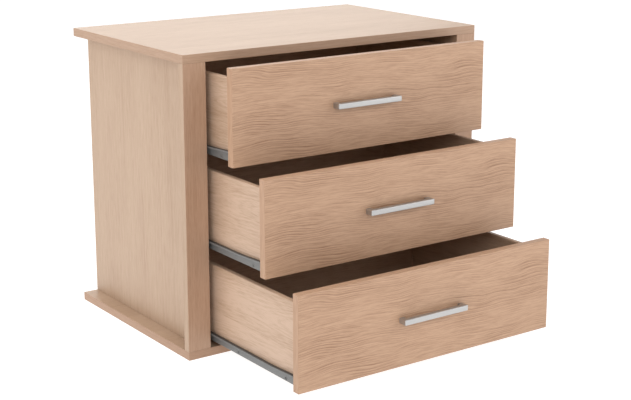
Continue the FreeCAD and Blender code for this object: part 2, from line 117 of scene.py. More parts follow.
class RunnerSizes(PropertyGroup):
    """Sizes of the folded steel runners, their rollers and rivets."""

    gap: length("Runner gap", "From the carcass side to the drawer side", 0.0125)
    sheet: length("Sheet", "Thickness of the folded steel", 0.0012)
    bend: length("Bend radius", "Outer radius of each fold", 0.002)
    floor_width: length("Rail floor", "Width of the rail's floor", 0.0105)
    lip_height: length("Rail lip", "Height of the lip on the rail's floor", 0.0035)
    lip_inset: length("Lip inset", "From the rail's front to its lip", 0.026)
    roof_width: length("Rail roof", "Width of the rail's roof", 0.009)
    roof_inset: length("Roof inset", "From the rail's front to its roof", 0.085)
    stop_height: length("Stop height", "Height of a stop above the rail's floor", 0.0048)
    stop_width: length("Stop width", "Reach of a stop across the rail", 0.0087)
    out_stop_inset: length("Out-stop inset", "From the rail's front to the back of its out-stop", 0.0751)
    in_stop_inset: length("In-stop inset", "From the rail's rear to the back of its in-stop", 0.0039)
    reach: length("Flange reach", "Width of the slider's flange", 0.0092)
    lip_drop: length("Flange lip", "Depth of the lip on the slider's flange", 0.0037)
    height: length("Slider height", "From the slider's foot to its flange", 0.021)
    ramp_length: length("Ramp length", "Length of the slider's ramp", 0.08)
    ramp_rise: length("Ramp rise", "Rise of the slider's ramp towards the front", 0.0035)
    flange_inset: length("Flange inset", "From the slider's rear to the end of its flange", 0.02725)
    roller_edge: length("Roller edge", "Rounding of a roller's rim", 0.0006)
    roller_dish: length("Roller dish", "Depth of a roller's dished face", 0.0008)
    axle: length("Axle radius", "Radius of the rollers' axles", 0.0025)


class FasteningSizes(PropertyGroup):
    """Sizes of the screws that hold the runners, and their places along them."""

    head: length("Screw head", "Radius of a runner screw's head", 0.00325)
    shank: length("Screw shank", "Radius of a runner screw's shank", 0.00175)
    rail_length: length("Rail screw", "Length of a rail screw", 0.016)
    slider_length: length("Slider screw", "Length of a slider screw", 0.012)
    front_inset: length("Front inset", "From a runner's front to its first screw", 0.037)
    rail_rear_inset: length("Rail rear inset", "From a rail's rear to its last screw", 0.029)
    slider_rear_inset: length("Slider rear inset", "From a slider's rear to its last screw", 0.049)
    slider_rise: length("Slider screw rise", "From the slider's foot up to its screws", 0.0062)


class HandleSizes(PropertyGroup):
    """Sizes of the bridge handles."""

    post: length("Post width", "Width of each foot of the handle", 0.012)
    bar: length("Bar depth", "Depth of the bar", 0.0115)
    edge: length("Edge radius", "Rounding along the handle's edges", 0.0012)
    corner: length("Corner radius", "Rounding where the bar turns into its feet", 0.0018)


class StageSettings(PropertyGroup):
    """The camera and the studio light."""

    place: FloatVectorProperty(
        name="Camera place", description="Where the camera stands", default=(-1.840, -2.771, 1.121),
        subtype="XYZ", unit="LENGTH",
    )
    yaw: rotation("Yaw", "Turn of the camera to the right of the chest's depth", 35.23)
    pitch: rotation("Pitch", "Tilt of the camera below the horizon", 13.468)
    roll: rotation("Roll", "Turn of the camera about its own axis", 0.056)
    lens: FloatProperty(name="Lens", description="Focal length in millimetres", default=80.58)
    rise: FloatProperty(name="Rise", description="Upward shift of the lens", default=-0.05)
    walls: FloatProperty(name="Walls", description="Strength of the light from the walls", default=0.8)
    ceiling: FloatProperty(name="Ceiling", description="Strength of the light from above", default=0.2)
    left: power("Left light", "Power of the left softbox", 44.0)
    right: power("Right light", "Power of the right softbox", 30.0)
    front: power("Front light", "Power of the front softbox", 40.0)
    top: power("Top light", "Power of the overhead softbox", 67.0)
    back: power("Back light", "Power of the rear softbox", 26.0)


SETTINGS = {
    "insert_colours": FinishColours,
    "insert_runners": RunnerSizes,
    "insert_fastenings": FasteningSizes,
    "insert_handles": HandleSizes,
    "insert_stage": StageSettings,
}


def settings(name):
    """One group of the add-on's properties, from the scene."""
    return getattr(bpy.context.scene, f"insert_{name}")


# Meshes


def surface(points, round_columns=False, round_rows=False, closed_ends=False):
    """A grid of points as (points, faces), with a four-sided face between each four neighbours. Round rows or
    columns close on themselves, and closed ends get one flat face over the first and the last row."""
    rows, columns = points.shape[:2]
    r = np.arange(rows if round_rows else rows - 1)[:, None]
    c = np.arange(columns if round_columns else columns - 1)[None, :]
    next_r, next_c = (r + 1) % rows, (c + 1) % columns
    corners = [r * columns + c, r * columns + next_c, next_r * columns + next_c, next_r * columns + c]
    faces = np.stack(np.broadcast_arrays(*corners), -1).reshape(-1, 4).tolist()
    if closed_ends:
        faces.append(list(range(columns))[::-1])
        faces.append(list(range((rows - 1) * columns, rows * columns)))
    return points.reshape(-1, 3), faces


def joined(surfaces):
    """Several surfaces as one (points, faces)."""
    points, faces, count = [], [], 0
    for some_points, some_faces in surfaces:
        points.append(some_points)
        faces += [[i + count for i in face] for face in some_faces]
        count += len(some_points)
    return np.concatenate(points), faces


def piece(name, surfaces, material, body, nodes):
    """One mesh object from several surfaces, merged, turned outwards and riding on its body."""
    points, faces = joined(surfaces)
    mesh = bpy.data.meshes.new(name)
    mesh.from_pydata(points, [], faces)
    work = bmesh.new()
    work.from_mesh(mesh)
    bmesh.ops.remove_doubles(work, verts=work.verts, dist=MERGE_DISTANCE)
    bmesh.ops.dissolve_degenerate(work, edges=work.edges, dist=MERGE_DISTANCE)
    bmesh.ops.recalc_face_normals(work, faces=work.faces)
    work.to_mesh(mesh)
    work.free()
    mesh.shade_smooth()
    mesh.set_sharp_from_angle(angle=SHARP_ANGLE)
    mesh.materials.append(material)
    made = bpy.data.objects.new(name, mesh)
    bpy.context.scene.collection.objects.link(made)
    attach(made, body)
    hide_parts(*nodes)


def arc(centre_a, centre_b, radius, start, end, steps=4):
    """Points of an arc in a plane: the centre plus the radius times cosine and sine of an angle that runs
    from start to end, in degrees. Centres and radius may be arrays, with one arc for each of their values."""
    angle = np.radians(np.linspace(start, end, steps + 1))
    radius = np.asarray(radius, float)[..., None]
    a = np.asarray(centre_a, float)[..., None] + radius * np.cos(angle)
    b = np.asarray(centre_b, float)[..., None] + radius * np.sin(angle)
    return np.stack(np.broadcast_arrays(a, b), -1)


def point(a, b):
    """One point of an outline, or one for each row where the values are arrays."""
    return np.stack(np.broadcast_arrays(np.asarray(a, float), np.asarray(b, float)), -1)[..., None, :]


def outline(pieces, rows):
    """Arcs and points of an outline joined in order, the same number of points in each row."""
    return np.concatenate([np.broadcast_to(p, (rows,) + p.shape[-2:]) for p in pieces], -2)


def turned(xs, radii, place, side, steps, lift=0.0, closed=False):
    """A surface of revolution about an axis along X: the outline's points, at distance xs along the axis and
    radii from it, are turned about it in equal steps. lift moves points along the axis, point by step. A
    closed outline's last point goes on to its first."""
    angle = np.linspace(0, 2 * np.pi, steps, endpoint=False)
    along = np.asarray(xs)[:, None] + lift + 0 * angle
    radius = np.asarray(radii)[:, None]
    grid = np.stack(
        [place[0] + side * along, place[1] + radius * np.cos(angle), place[2] + radius * np.sin(angle)], -1
    )
    return surface(grid, round_columns=True, round_rows=closed)


def cross_recess(radii, steps, reach, half_width, depth):
    """Depth of a cross recess on a grid of radii and angles: it is as deep as asked where the point lies
    within the half width of one of the arms and no farther out than their reach, and nothing elsewhere."""
    angle = np.linspace(0, 2 * np.pi, steps, endpoint=False)
    radius = np.asarray(radii)[:, None]
    across = np.minimum(np.abs(radius * np.sin(angle)), np.abs(radius * np.cos(angle)))
    return np.where((across <= half_width) & (radius <= reach), depth, 0.0)


def rounded_box(low, high, radius, steps=2):
    """A box with rounded edges. Each point of a grid on the plain box is drawn towards the nearest point of
    the box that is smaller by the radius, until it lies one radius away from it."""
    low, high = np.array(low, float), np.array(high, float)
    middle, half = (low + high) / 2, (high - low) / 2
    inner = half - radius
    near_edge = radius * np.tan(np.radians(np.linspace(0, 45, steps + 1)))
    surfaces = []
    for axis in range(3):
        u, v = [a for a in range(3) if a != axis]
        lines = [np.concatenate([-inner[a] - near_edge[::-1], inner[a] + near_edge]) for a in (u, v)]
        for sign in (-1, 1):
            grid = np.empty((len(lines[0]), len(lines[1]), 3))
            grid[..., u], grid[..., v] = lines[0][:, None], lines[1][None, :]
            grid[..., axis] = sign * half[axis]
            core = np.clip(grid, -inner, inner)
            away = grid - core
            away /= np.linalg.norm(away, axis=-1, keepdims=True)
            surfaces.append(surface(middle + core + radius * away))
    return joined(surfaces)


def reach_of(node):
    """How far a node reaches from the chest's middle plane."""
    low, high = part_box(node)
    return max(abs(low.x), abs(high.x))


# Materials


def add(tree, kind, inputs=None, **options):
    """Adds a node with its options, and sets or links its inputs by name or number."""
    node = tree.nodes.new(kind)
    for key, value in options.items():
        setattr(node, key, value)
    for key, value in (inputs or {}).items():
        if isinstance(value, bpy.types.NodeSocket):
            tree.links.new(value, node.inputs[key])
        else:
            node.inputs[key].default_value = value
    return node


def new_material(name):
    """An empty node material, its node tree, and the outputs of its Texture Coordinate node."""
    material = bpy.data.materials.new(name)
    material.use_nodes = True
    tree = material.node_tree
    tree.nodes.clear()
    return material, tree, add(tree, "ShaderNodeTexCoord").outputs


def finish(tree, base, bump=None, depth=0.0001, **constants):
    """The shader and output of a material. Its constants are set on the shader's own sockets."""
    inputs = {"Base Color": base}
    inputs.update({key.replace("_", " "): value for key, value in constants.items()})
    if bump is not None:
        inputs["Normal"] = add(tree, "ShaderNodeBump", {"Distance": depth, "Height": bump}).outputs[0]
    shader = add(tree, "ShaderNodeBsdfPrincipled", inputs)
    add(tree, "ShaderNodeOutputMaterial", {"Surface": shader.outputs[0]})


def rgba(values, shade=1.0):
    """A colour socket's value: a colour, made lighter or darker by a shade."""
    return (*(c * shade for c in values), 1.0)


# How each kind of board is cut from the tree, with lengths in metres on its face, from the face's centre.
# The pith runs along the board at height, which changes along it by slope. It lies deepest under the face at
# middle, by depth, and elsewhere less, by bow times the distance squared. ring is the width of a growth ring
# and sharp how thin its dark line is, least how much of the rings shows where they show least, wander how far
# the grain strays sideways, and pores how many times finer the pores are. plank is the width of glued planks,
# with a joint so far below the middle. ground, rings, pored and broad are what the ground, the rings, each of
# the two kinds of pores and the broad bands add to the tone.
FIGURES = {
    "flat_sawn": {
        "middle": 0.02, "height": -0.115, "slope": -0.03, "depth": 0.030, "bow": 0.0,
        "ring": 0.0047, "sharp": 3.0, "least": 0.10, "wander": 0.042, "pores": 1.7,
        "ground": 0.05, "rings": 0.75, "pored": 0.36, "broad": 0.25,
    },
    "box_side": {
        "middle": 0.05, "height": 0.03, "slope": -0.06, "depth": 0.026, "bow": 0.12,
        "ring": 0.0065, "sharp": 2.2, "least": 0.35, "wander": 0.018, "pores": 1.0,
        "plank": 0.11, "joint": 0.017, "ground": 0.05, "rings": 0.20, "pored": 0.275, "broad": 1.2,
    },
    "quarter_sawn": {
        "middle": 0.0, "height": -0.75, "slope": 0.01, "depth": 0.03, "bow": 0.0,
        "ring": 0.0135, "sharp": 2.2, "least": 0.35, "wander": 0.005, "pores": 1.0,
        "ground": 0.05, "rings": 0.25, "pored": 0.25, "broad": 0.5,
    },
    "band": {
        "middle": 0.0, "height": -0.9, "slope": 0.0, "depth": 0.02, "bow": 0.0,
        "ring": 0.006, "sharp": 2.2, "least": 0.35, "wander": 0.003, "pores": 1.0,
        "ground": 0.20, "rings": 0.2, "pored": 0.2, "broad": 0.4,
    },
}


# Patterns that all figures share, in waves for each metre along the board, across it and from tree to tree
GRAIN_WAVES = (4.5, 9, 1)  # about 220 mm long and 110 mm wide
RING_PATCHES = (7.5, 20, 1)  # about 130 mm long and 50 mm wide
BROAD_BANDS = (1.6, 14, 1)  # about 600 mm long and 70 mm wide
RING_UNEVENNESS = 90.0  # waves about 11 mm across the rings
RING_SHIFT = 1.6  # how many rings the unevenness moves a ring by, at most
PLANK_SEED = 3.7  # how far apart the trees of two glued planks are
BAND_SEED = 3.0  # how far apart the trees of a board and its edge band are

# A face looks along an axis where its normal has more of the axis than this
FACING = 0.7

# Pores are 0.3 mm wide on oak. They are drawn 1.6 to 2.4 mm wide and 25 to 50 mm long, and 0.9 to 1.4 mm wide
# on the drawer fronts, or they wouldn't show at this distance. Waves for each metre along and across.
RING_PORES = (20.0, 420.0)
FLAT_PORES = (40.0, 640.0)


def oak_tone(tree, along, across, seed, figure):
    """How dark the grain is, from 0 to 1, at a place on the face. Growth rings are circles round the pith, so
    the tone follows the distance to it: the cut shows straight lines where the pith lies deep, and pointed
    arches where it comes near. Pores are streaks, long along the grain and thin across the rings."""
    if "plank" in figure:
        # Planks glued edge to edge, each from another tree
        shifted = add(tree, "ShaderNodeMath", {0: across, 1: figure["joint"]}, operation="ADD").outputs[0]
        plank = add(tree, "ShaderNodeMath", {0: shifted, 1: figure["plank"]}, operation="DIVIDE").outputs[0]
        plank = add(tree, "ShaderNodeMath", {0: plank}, operation="FLOOR").outputs[0]
        trees = {0: plank, 1: PLANK_SEED, 2: seed}
        seed = add(tree, "ShaderNodeMath", trees, operation="MULTIPLY_ADD").outputs[0]
    place = add(tree, "ShaderNodeCombineXYZ", {0: along, 1: across, 2: seed}).outputs[0]

    # The grain wanders sideways
    slow = add(tree, "ShaderNodeVectorMath", {0: place, 1: GRAIN_WAVES}, operation="MULTIPLY").outputs[0]
    waves = add(tree, "ShaderNodeTexNoise", {"Vector": slow, "Scale": 1.0, "Detail": 2.0}).outputs["Fac"]
    bent = {0: waves, 1: figure["wander"], 2: across}
    bent = add(tree, "ShaderNodeMath", bent, operation="MULTIPLY_ADD").outputs[0]

    # Distance to the pith
    run = add(tree, "ShaderNodeMath", {0: along, 1: figure["middle"]}, operation="SUBTRACT").outputs[0]
    pith = {0: run, 1: figure["slope"], 2: figure["height"]}
    pith = add(tree, "ShaderNodeMath", pith, operation="MULTIPLY_ADD").outputs[0]
    off = add(tree, "ShaderNodeMath", {0: bent, 1: pith}, operation="SUBTRACT").outputs[0]
    square = add(tree, "ShaderNodeMath", {0: run, 1: run}, operation="MULTIPLY").outputs[0]
    deep = {0: square, 1: -figure["bow"], 2: figure["depth"]}
    deep = add(tree, "ShaderNodeMath", deep, operation="MULTIPLY_ADD").outputs[0]
    both = add(tree, "ShaderNodeCombineXYZ", {0: off, 1: deep}).outputs[0]
    radius = add(tree, "ShaderNodeVectorMath", {0: both}, operation="LENGTH").outputs["Value"]

    # Rings of uneven width, each dark where its growth begins and paler outwards
    uneven = {"W": radius, "Scale": RING_UNEVENNESS, "Detail": 1.0}
    uneven = add(tree, "ShaderNodeTexNoise", uneven, noise_dimensions="1D").outputs["Fac"]
    count = add(tree, "ShaderNodeMath", {0: radius, 1: figure["ring"]}, operation="DIVIDE").outputs[0]
    moved = {0: uneven, 1: RING_SHIFT, 2: count}
    moved = add(tree, "ShaderNodeMath", moved, operation="MULTIPLY_ADD").outputs[0]
    phase = add(tree, "ShaderNodeMath", {0: moved}, operation="FRACT").outputs[0]
    pale = add(tree, "ShaderNodeMath", {0: 1.0, 1: phase}, operation="SUBTRACT").outputs[0]
    early = add(tree, "ShaderNodeMath", {0: pale, 1: figure["sharp"]}, operation="POWER").outputs[0]

    # The rings show strongly in some patches and hardly in others
    patch = add(tree, "ShaderNodeVectorMath", {0: place, 1: RING_PATCHES}, operation="MULTIPLY").outputs[0]
    patches = add(tree, "ShaderNodeTexNoise", {"Vector": patch, "Scale": 1.0, "Detail": 1.0}).outputs["Fac"]
    shown = {0: patches, 1: 0.40, 2: 0.62, 3: figure["least"], 4: 1.0}
    shown = add(tree, "ShaderNodeMapRange", shown).outputs[0]
    rings = add(tree, "ShaderNodeMath", {0: early, 1: shown}, operation="MULTIPLY").outputs[0]

    # Pores that follow the rings, and pores that follow the face. Only the upper part of the noise shows.
    streaks = []
    for (long, wide), across_grain in ((RING_PORES, radius), (FLAT_PORES, bent)):
        wide *= figure["pores"]
        a = add(tree, "ShaderNodeMath", {0: along, 1: long}, operation="MULTIPLY").outputs[0]
        b = add(tree, "ShaderNodeMath", {0: across_grain, 1: wide}, operation="MULTIPLY").outputs[0]
        grain = add(tree, "ShaderNodeCombineXYZ", {0: a, 1: b, 2: seed}).outputs[0]
        noise = {"Vector": grain, "Scale": 1.0, "Detail": 2.0, "Roughness": 0.6}
        noise = add(tree, "ShaderNodeTexNoise", noise).outputs["Fac"]
        streaks.append(add(tree, "ShaderNodeMapRange", {0: noise, 1: 0.44, 2: 0.70}).outputs[0])

    # Broad pale and dark bands
    wide = add(tree, "ShaderNodeVectorMath", {0: place, 1: BROAD_BANDS}, operation="MULTIPLY").outputs[0]
    bands = add(tree, "ShaderNodeTexNoise", {"Vector": wide, "Scale": 1.0, "Detail": 2.0}).outputs["Fac"]
    centred = add(tree, "ShaderNodeMath", {0: bands, 1: 0.5}, operation="SUBTRACT").outputs[0]

    tone = figure["ground"]
    for part, share in ((centred, "broad"), (rings, "rings"), (streaks[0], "pored"), (streaks[1], "pored")):
        tone = {0: part, 1: figure[share], 2: tone}
        tone = add(tree, "ShaderNodeMath", tone, operation="MULTIPLY_ADD").outputs[0]
    tone.node.use_clamp = True
    return tone


def give(node, material):
    """Puts a material into every slot of a CAD node."""
    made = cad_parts[node]
    if not made.material_slots:
        raise RuntimeError(f"{node} has no material slot")
    for slot in made.material_slots:
        slot.material = material


def foil(kind):
    """The light and the dark colour of one kind of oak foil."""
    colours = settings("colours")
    return getattr(colours, f"{kind}_light"), getattr(colours, f"{kind}_dark")


def finish_board(name, node, grain, thickness, figure, face, edge, seed):
    """Decor paper foil with an oak print on chipboard, cut and edged with a band of the same foil: printed
    grain, a matt lacquer that lifts the pores a little, and no end grain. grain and thickness name the axes
    of the board, face and edge are each a light and a dark colour, and seed is the tree it comes from."""
    material, tree, coordinates = new_material(name)
    low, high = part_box(node)
    local = {0: coordinates["Object"], 1: (low + high) / 2}
    local = add(tree, "ShaderNodeVectorMath", local, operation="SUBTRACT").outputs[0]
    place = add(tree, "ShaderNodeSeparateXYZ", {0: local}).outputs
    facing = add(tree, "ShaderNodeSeparateXYZ", {0: coordinates["Normal"]}).outputs
    g, t = AXES[grain], AXES[thickness]
    w = 3 - g - t

    # The banded edges run their own way: along the board's width at its ends, and along its grain elsewhere
    end_turn = add(tree, "ShaderNodeMath", {0: facing[g]}, operation="ABSOLUTE").outputs[0]
    on_end = add(tree, "ShaderNodeMath", {0: end_turn, 1: FACING}, operation="GREATER_THAN").outputs[0]
    face_turn = add(tree, "ShaderNodeMath", {0: facing[t]}, operation="ABSOLUTE").outputs[0]
    on_face = add(tree, "ShaderNodeMath", {0: face_turn, 1: FACING}, operation="GREATER_THAN").outputs[0]
    along = add(tree, "ShaderNodeMix", {0: on_end, 2: place[g], 3: place[w]}).outputs[0]
    face_tone = oak_tone(tree, place[g], place[w], seed, FIGURES[figure])
    edge_tone = oak_tone(tree, along, place[t], seed + BAND_SEED, FIGURES["band"])
    tone = add(tree, "ShaderNodeMix", {0: on_face, 2: edge_tone, 3: face_tone}).outputs[0]
    prints = [
        add(tree, "ShaderNodeMix", {0: tone, 6: rgba(light), 7: rgba(dark)}, data_type="RGBA").outputs[2]
        for light, dark in (edge, face)
    ]
    oak = add(tree, "ShaderNodeMix", {0: on_face, 6: prints[0], 7: prints[1]}, data_type="RGBA").outputs[2]
    finish(tree, oak, bump=tone, depth=-0.00006, Roughness=0.46, IOR=1.5)
    give(node, material)


def mottle(tree, place, kind, light, dark, **noise):
    """A noise at a place, and one of the settings' colours that it takes from a light to a dark shade."""
    noise = add(tree, "ShaderNodeTexNoise", {"Vector": place, **noise}).outputs["Fac"]
    plain = getattr(settings("colours"), kind)
    shades = {0: noise, 6: rgba(plain, light), 7: rgba(plain, dark)}
    return noise, add(tree, "ShaderNodeMix", shades, data_type="RGBA").outputs[2]


def hardboard_material():
    """Hardboard: wet-pressed wood fibre, smooth and printed in the boards' tone towards the drawers, and raw
    brown with a mottle of fibres behind. The fibres are about 3 mm long and are drawn 6 mm long."""
    material, tree, coordinates = new_material("printed_hardboard")
    fibres, brown = mottle(
        tree, coordinates["Object"], "hardboard", 1.25, 0.72, Scale=170.0, Detail=4.0, Distortion=0.6
    )
    facing = add(tree, "ShaderNodeSeparateXYZ", {0: coordinates["Normal"]}).outputs
    behind = add(tree, "ShaderNodeMath", {0: facing[1], 1: 0.5}, operation="GREATER_THAN").outputs[0]
    below = add(tree, "ShaderNodeMath", {0: facing[2], 1: -0.5}, operation="LESS_THAN").outputs[0]
    raw = add(tree, "ShaderNodeMath", {0: behind, 1: below}, operation="MAXIMUM").outputs[0]
    light, dark = foil("box")
    printed = {0: fibres, 6: rgba(light), 7: rgba(dark)}
    printed = add(tree, "ShaderNodeMix", printed, data_type="RGBA").outputs[2]
    both = add(tree, "ShaderNodeMix", {0: raw, 6: printed, 7: brown}, data_type="RGBA").outputs[2]
    finish(tree, both, bump=fibres, depth=0.00008, Roughness=0.55)
    return material


def powder_coat():
    """Grey polyester powder coat baked on folded steel: half matt, with the faint orange peel of the melt in
    waves about 1.5 mm long, and painted shade that darkens what faces up."""
    material, tree, coordinates = new_material("powder_coated_steel")
    place = coordinates["Object"]
    peel = add(tree, "ShaderNodeTexNoise", {"Vector": place, "Scale": 650.0, "Detail": 1.0}).outputs["Fac"]
    _, base = mottle(tree, place, "runner", 1.08, 0.9, Scale=35.0, Detail=3.0)
    # Painted shade: faces that look up are darkened towards a quarter of the coat's colour, to stand in for
    # the shadow line between the drawer side and the slider's flange
    upward = add(tree, "ShaderNodeSeparateXYZ", {0: coordinates["Normal"]}).outputs[2]
    painted_shade = add(tree, "ShaderNodeMapRange", {0: upward, 1: 0.75, 2: 0.95}).outputs[0]
    shaded = {0: painted_shade, 6: base, 7: rgba(settings("colours").runner, 0.25)}
    base = add(tree, "ShaderNodeMix", shaded, data_type="RGBA").outputs[2]
    finish(tree, base, bump=peel, depth=0.00003, Roughness=0.42)
    return material


def nylon():
    """Nylon 6, injection moulded: milky and half matt, clouded with grime in spots about 4 mm wide."""
    material, tree, coordinates = new_material("moulded_nylon")
    cloud, base = mottle(tree, coordinates["Object"], "nylon", 1.0, 0.82, Scale=240.0, Detail=3.0)
    finish(tree, base, bump=cloud, depth=0.00002, Roughness=0.38, IOR=1.53)
    return material


def zinc_plate():
    """Steel with bright zinc plate: metal with a soft spangle, blotched by the passivation. The blotches are
    about 2 mm wide."""
    material, tree, coordinates = new_material("zinc_plated_steel")
    blotch, base = mottle(tree, coordinates["Object"], "zinc", 1.0, 0.78, Scale=480.0, Detail=3.0)
    rough = add(tree, "ShaderNodeMapRange", {0: blotch, 1: 0.3, 2: 0.7, 3: 0.28, 4: 0.42}).outputs[0]
    finish(tree, base, bump=blotch, depth=0.00001, Roughness=rough, Metallic=1.0)
    return material


def satin_metal():
    """Die-cast zinc, nickel plated and brushed along the bar: a bright satin metal whose fine scratches run
    along X. They are about 0.05 mm wide and are drawn 0.4 mm wide and 45 mm long."""
    material, tree, coordinates = new_material("brushed_nickel")
    scratches = {0: coordinates["Object"], 1: (22, 2400, 2400)}
    scratches = add(tree, "ShaderNodeVectorMath", scratches, operation="MULTIPLY").outputs[0]
    brush, base = mottle(tree, scratches, "handle", 1.0, 0.86, Scale=1.0, Detail=3.0)
    rough = add(tree, "ShaderNodeMapRange", {0: brush, 1: 0.3, 2: 0.7, 3: 0.4, 4: 0.52}).outputs[0]
    finish(tree, base, bump=brush, depth=0.00001, Roughness=rough, Metallic=1.0)
    return material


def beech():
    """Beech, turned: pale pink-brown with short dark flecks about 2 mm long."""
    material, tree, coordinates = new_material("turned_beech")
    flecks, base = mottle(tree, coordinates["Object"], "beech", 1.0, 0.7, Scale=480.0, Detail=2.0)
    finish(tree, base, bump=flecks, depth=0.00003, Roughness=0.6)
    return material


def shared_material(make):
    """The material that a function makes, made once and kept by the function's name."""
    scene, key = bpy.context.scene, "insert_" + make.__name__
    if key not in scene:
        scene[key] = make().name
    return bpy.data.materials[scene[key]]


# Pieces


class FinishCarcass(Operator):
    """Puts oak foil on the top, base, sides and stiles"""

    bl_idname = "insert.finish_carcass"
    bl_label = "Carcass boards"

    def execute(self, context):
        face, edge, stile, cut = foil("carcass"), foil("edge"), foil("stile"), "quarter_sawn"
        finish_board("oak_foil_top", "top_panel", "x", "z", cut, face, edge, 1.7)
        # Painted shade: the base's front edge and the stiles' fronts take the darker stile foil, while the
        # stiles' side edges keep the carcass foil
        finish_board("oak_foil_base", "bottom_panel", "x", "z", cut, face, stile, 4.1)
        for number, (name, _) in enumerate(SIDES):
            side, front = f"{name}_side_panel", f"{name}_stile"
            finish_board(f"oak_foil_{name}_side", side, "z", "x", cut, face, edge, 7.3 + number)
            finish_board(f"oak_foil_{name}_stile", front, "z", "y", cut, stile, face, 11.9 + number)
        return {"FINISHED"}


class FinishHardboard(Operator):
    """Gives the hardboard back and the drawer bottoms their printed and raw faces"""

    bl_idname = "insert.finish_hardboard"
    bl_label = "Hardboard"

    def execute(self, context):
        material = shared_material(hardboard_material)
        give("back_panel", material)
        for row in ROWS:
            give(f"{row}_drawer_bottom", material)
        return {"FINISHED"}


class FinishFronts(Operator):
    """Puts the flat-sawn oak foil on the drawer fronts, the same print on each"""

    bl_idname = "insert.finish_fronts"
    bl_label = "Drawer fronts"

    def execute(self, context):
        oak = foil("front")
        for row in ROWS:
            finish_board(f"oak_foil_{row}_front", f"{row}_drawer_front", "x", "y", "flat_sawn", oak, oak, 2.4)
        return {"FINISHED"}


class FinishBoxes(Operator):
    """Puts oak foil on the drawer boxes"""

    bl_idname = "insert.finish_boxes"
    bl_label = "Drawer boxes"

    def execute(self, context):
        oak, cut = foil("box"), "box_side"
        for number, row in enumerate(ROWS):
            for name, _ in SIDES:
                side = f"{row}_drawer_{name}_side"
                finish_board(f"oak_foil_{row}_{name}_box", side, "y", "x", cut, oak, oak, 5.2 + number)
            back = f"{row}_drawer_back"
            finish_board(f"oak_foil_{row}_box_back", back, "x", "y", cut, oak, oak, 9.6 + number)
        return {"FINISHED"}


def handle_surface(node, sizes):
    """A bridge handle: a rounded rectangle carried along a U. In plan the U has an outer and an inner line
    with rounded corners, point for point. Each cross-section runs between the two at the handle's full
    height, and its four corners are quarter circles."""
    low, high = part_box(node)
    left, right, out, wall = low.x, high.x, low.y, high.y
    corner = sizes.corner
    outer = np.concatenate([
        [(left, wall), (left, out + corner)],
        arc(left + corner, out + corner, corner, 180, 270),
        arc(right - corner, out + corner, corner, 270, 360),
        [(right, out + corner), (right, wall)],
    ])
    inner_left, inner_right, inner_out = left + sizes.post, right - sizes.post, out + sizes.bar
    fillet = corner / 2
    inner = np.concatenate([
        [(inner_left, wall), (inner_left, inner_out + fillet)],
        arc(inner_left + fillet, inner_out + fillet, fillet, 180, 270),
        arc(inner_right - fillet, inner_out + fillet, fillet, 270, 360),
        [(inner_right, inner_out + fillet), (inner_right, wall)],
    ])
    width = np.linalg.norm(outer - inner, axis=1)[:, None]
    towards = (outer - inner) / width
    middle = (outer + inner) / 2
    half_height = (high.z - low.z) / 2
    edge, corner_points = sizes.edge, 5
    turn = np.radians(np.arange(0, 360, 90)[:, None] + np.linspace(0, 90, corner_points)).ravel()
    quadrant = np.repeat([(1, 1), (-1, 1), (-1, -1), (1, -1)], corner_points, axis=0)
    sideways = quadrant[:, 0] * (width / 2 - edge) + edge * np.cos(turn)
    upwards = quadrant[:, 1] * (half_height - edge) + edge * np.sin(turn)
    plan = middle[:, None, :] + sideways[..., None] * towards[:, None, :]
    height = np.broadcast_to((low.z + high.z) / 2 + upwards, sideways.shape)
    return surface(np.concatenate([plan, height[..., None]], -1), round_columns=True, closed_ends=True)


class MakeHandles(Operator):
    """Makes the satin bridge handles"""

    bl_idname = "insert.make_handles"
    bl_label = "Handles"

    def execute(self, context):
        for row in ROWS:
            node = f"{row}_drawer_handle"
            piece(
                f"{row}_bridge_handle", [handle_surface(node, settings("handles"))],
                shared_material(satin_metal), f"{row}_drawer", [node],
            )
        return {"FINISHED"}


def carried(section, side, wall, y, floor):
    """A runner's surface: its sections, in distances from the wall and heights above the floor, at each Y."""
    across, height = side * (wall - section[..., 0]), floor + section[..., 1]
    grid = np.stack(np.broadcast_arrays(across, y[:, None], height), -1)
    return surface(grid, round_columns=True, closed_ends=True)


def rail_surface(node, side, sizes):
    """A rail: the outline of a folded channel carried along Y. The outline is an outer line and, one sheet
    inside it, an inner line, with a quarter circle at each fold. Its lip and its roof are only as high and as
    wide as the sheet until they begin, so the outline is a function of the place along the rail."""
    low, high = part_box(node)
    sheet, bend = sizes.sheet, sizes.bend
    height, floor = high.z - low.z, sizes.floor_width
    lip_start, roof_start = low.y + sizes.lip_inset, low.y + sizes.roof_inset
    y = np.array([low.y, lip_start, lip_start, roof_start, roof_start, high.y])
    lip = np.array([sheet] * 2 + [sizes.lip_height] * 4)
    roof = np.array([sheet] * 4 + [sizes.roof_width] * 2)
    lip_bend, roof_bend = np.minimum(bend, lip), np.minimum(bend, roof)
    section = outline([
        point(roof, height),
        arc(roof_bend, height - roof_bend, roof_bend, 90, 180),
        arc(bend, bend, bend, 180, 270),
        arc(floor - lip_bend, lip_bend, lip_bend, 270, 360),
        point(floor, lip),
        point(floor - sheet, lip),
        arc(floor - lip_bend, lip_bend, lip_bend - sheet, 360, 270),
        arc(bend, bend, bend - sheet, 270, 180),
        arc(roof_bend, height - roof_bend, roof_bend - sheet, 180, 90),
        point(roof, height - sheet),
    ], len(y))
    return carried(section, side, reach_of(node), y, low.z)


def rail_stops(node, side, sizes):
    """The two stops of a rail, tongues of the sheet turned up across its floor."""
    low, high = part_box(node)
    wall = reach_of(node)
    stops = []
    for back in (low.y + sizes.out_stop_inset, high.y - sizes.in_stop_inset):
        xs = sorted([side * (wall - sizes.sheet / 2), side * (wall - sizes.stop_width)])
        stops.append(rounded_box(
            (xs[0], back - sizes.sheet, low.z + sizes.sheet / 2),
            (xs[1], back, low.z + sizes.sheet + sizes.stop_height),
            sizes.sheet / 4,
        ))
    return stops


